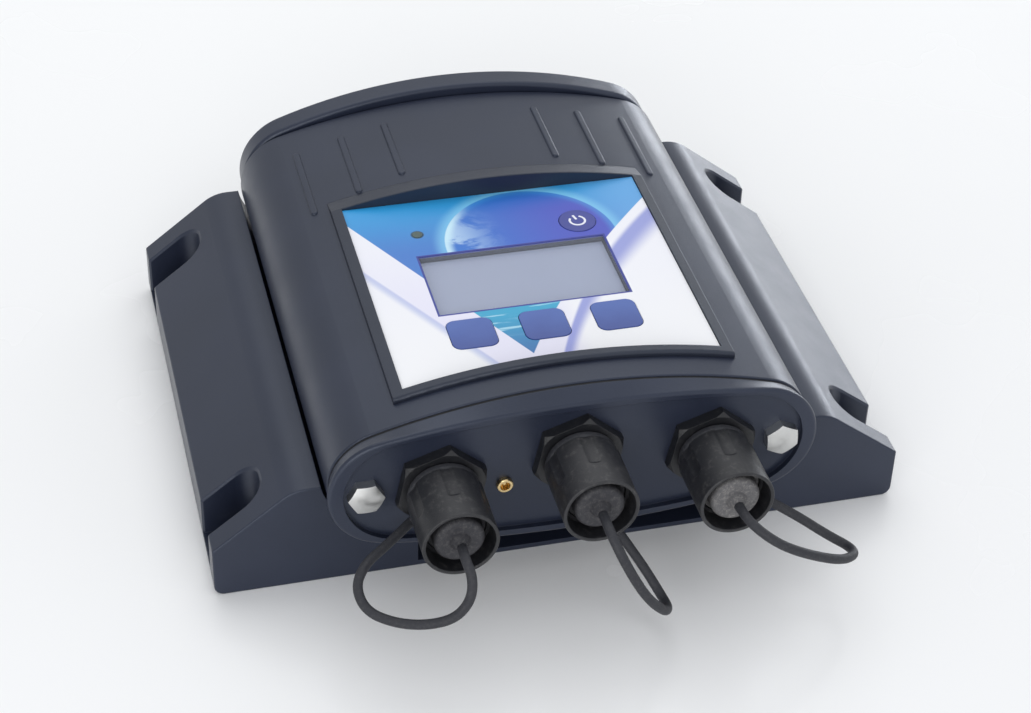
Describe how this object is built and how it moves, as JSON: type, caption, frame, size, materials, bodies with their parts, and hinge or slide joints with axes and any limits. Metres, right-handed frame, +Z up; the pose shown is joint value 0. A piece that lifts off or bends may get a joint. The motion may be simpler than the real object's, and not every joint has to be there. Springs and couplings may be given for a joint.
{
  "type": "instrument control and display unit",
  "caption": "Dark lens-shaped instrument housing with display and keys in a slotted mounting cradle, with capped round connectors and hanging rubber lanyards.",
  "frame": {"origin": "on the mounting surface, at the centre of the four mounting slots", "axes": "+X right, +Y from the connector end to the rear, +Z up from the mounting surface"},
  "size_m": [0.236, 0.2474, 0.0768],
  "materials": {
    "housing": "fine moulded texture, charcoal",
    "bezel": "satin black",
    "label": "printed polyester label",
    "window": "clear gloss",
    "display": "liquid crystal cell",
    "backlight": "diffuser",
    "key": "printed blue key",
    "led": "clear lens",
    "connector": "dusty matte black",
    "rubber": "soft black rubber",
    "steel": "stainless",
    "brass": "gold plated",
    "board": "solder-masked board",
    "component": "moulded component bodies",
    "insert": "insulating moulding",
    "cell": "wrapped battery cell"
  },
  "bodies": {
    "root": {"mounting_cradle": "housing", "cradle_screws": "steel", "saddle_pads": "rubber", "body_tube": "housing", "threaded_inserts": "brass", "front_cap": "housing", "rear_cap": "housing", "front_gasket": "rubber", "rear_gasket": "rubber", "front_cap_bolts": "steel", "rear_cap_bolts": "steel", "display_bezel": "bezel", "graphic_overlay": "label", "panel_carrier": "insert", "display_window": "window", "display_module": "display", "display_backlight": "backlight", "status_led": "led", "keypad_board": "board", "key_domes": "steel", "main_board": "board", "board_components": "component", "board_spacers": "brass", "board_screws": "steel", "battery_tray": "insert", "battery_cells": "cell", "coax_socket": "brass", "coax_contact": "brass", "coax_nut": "brass", "connector_shell_1": "connector", "contact_insert_1": "insert", "panel_nut_1": "connector", "panel_seal_1": "rubber", "cap_plug_1": "rubber", "lanyard_collar_1": "rubber", "lanyard_1": "rubber", "connector_shell_2": "connector", "contact_insert_2": "insert", "panel_nut_2": "connector", "panel_seal_2": "rubber", "cap_plug_2": "rubber", "lanyard_collar_2": "rubber", "lanyard_2": "rubber", "connector_shell_3": "connector", "contact_insert_3": "insert", "panel_nut_3": "connector", "panel_seal_3": "rubber", "cap_plug_3": "rubber", "lanyard_collar_3": "rubber", "lanyard_3": "rubber"},
    "soft_key_left": {"soft_key_left": "key"},
    "soft_key_middle": {"soft_key_middle": "key"},
    "soft_key_right": {"soft_key_right": "key"},
    "power_key": {"power_key": "key"},
    "cap_ring_1": {"cap_ring_1": "connector"},
    "cap_ring_2": {"cap_ring_2": "connector"},
    "cap_ring_3": {"cap_ring_3": "connector"}
  },
  "joints": [
    {"name": "soft_key_left_press", "type": "slide", "parent": "root", "child": "soft_key_left", "axis": [0, 0, -1], "range_m": [0, 0.0004], "stiffness_N_per_m": 4000},
    {"name": "soft_key_middle_press", "type": "slide", "parent": "root", "child": "soft_key_middle", "axis": [0, 0, -1], "range_m": [0, 0.0004], "stiffness_N_per_m": 4000},
    {"name": "soft_key_right_press", "type": "slide", "parent": "root", "child": "soft_key_right", "axis": [0, 0, -1], "range_m": [0, 0.0004], "stiffness_N_per_m": 4000},
    {"name": "power_key_press", "type": "slide", "parent": "root", "child": "power_key", "axis": [0, 0, -1], "range_m": [0, 0.0004], "stiffness_N_per_m": 4000},
    {"name": "cap_ring_1_turn", "type": "hinge", "parent": "root", "child": "cap_ring_1", "pos_m": [-0.045, -0.1175, 0.0438], "axis": [0, -1, 0], "range_deg": [0, 120]},
    {"name": "cap_ring_2_turn", "type": "hinge", "parent": "root", "child": "cap_ring_2", "pos_m": [0, -0.1175, 0.0488], "axis": [0, -1, 0], "range_deg": [0, 120]},
    {"name": "cap_ring_3_turn", "type": "hinge", "parent": "root", "child": "cap_ring_3", "pos_m": [0.045, -0.1175, 0.0438], "axis": [0, -1, 0], "range_deg": [0, 120]}
  ]
}
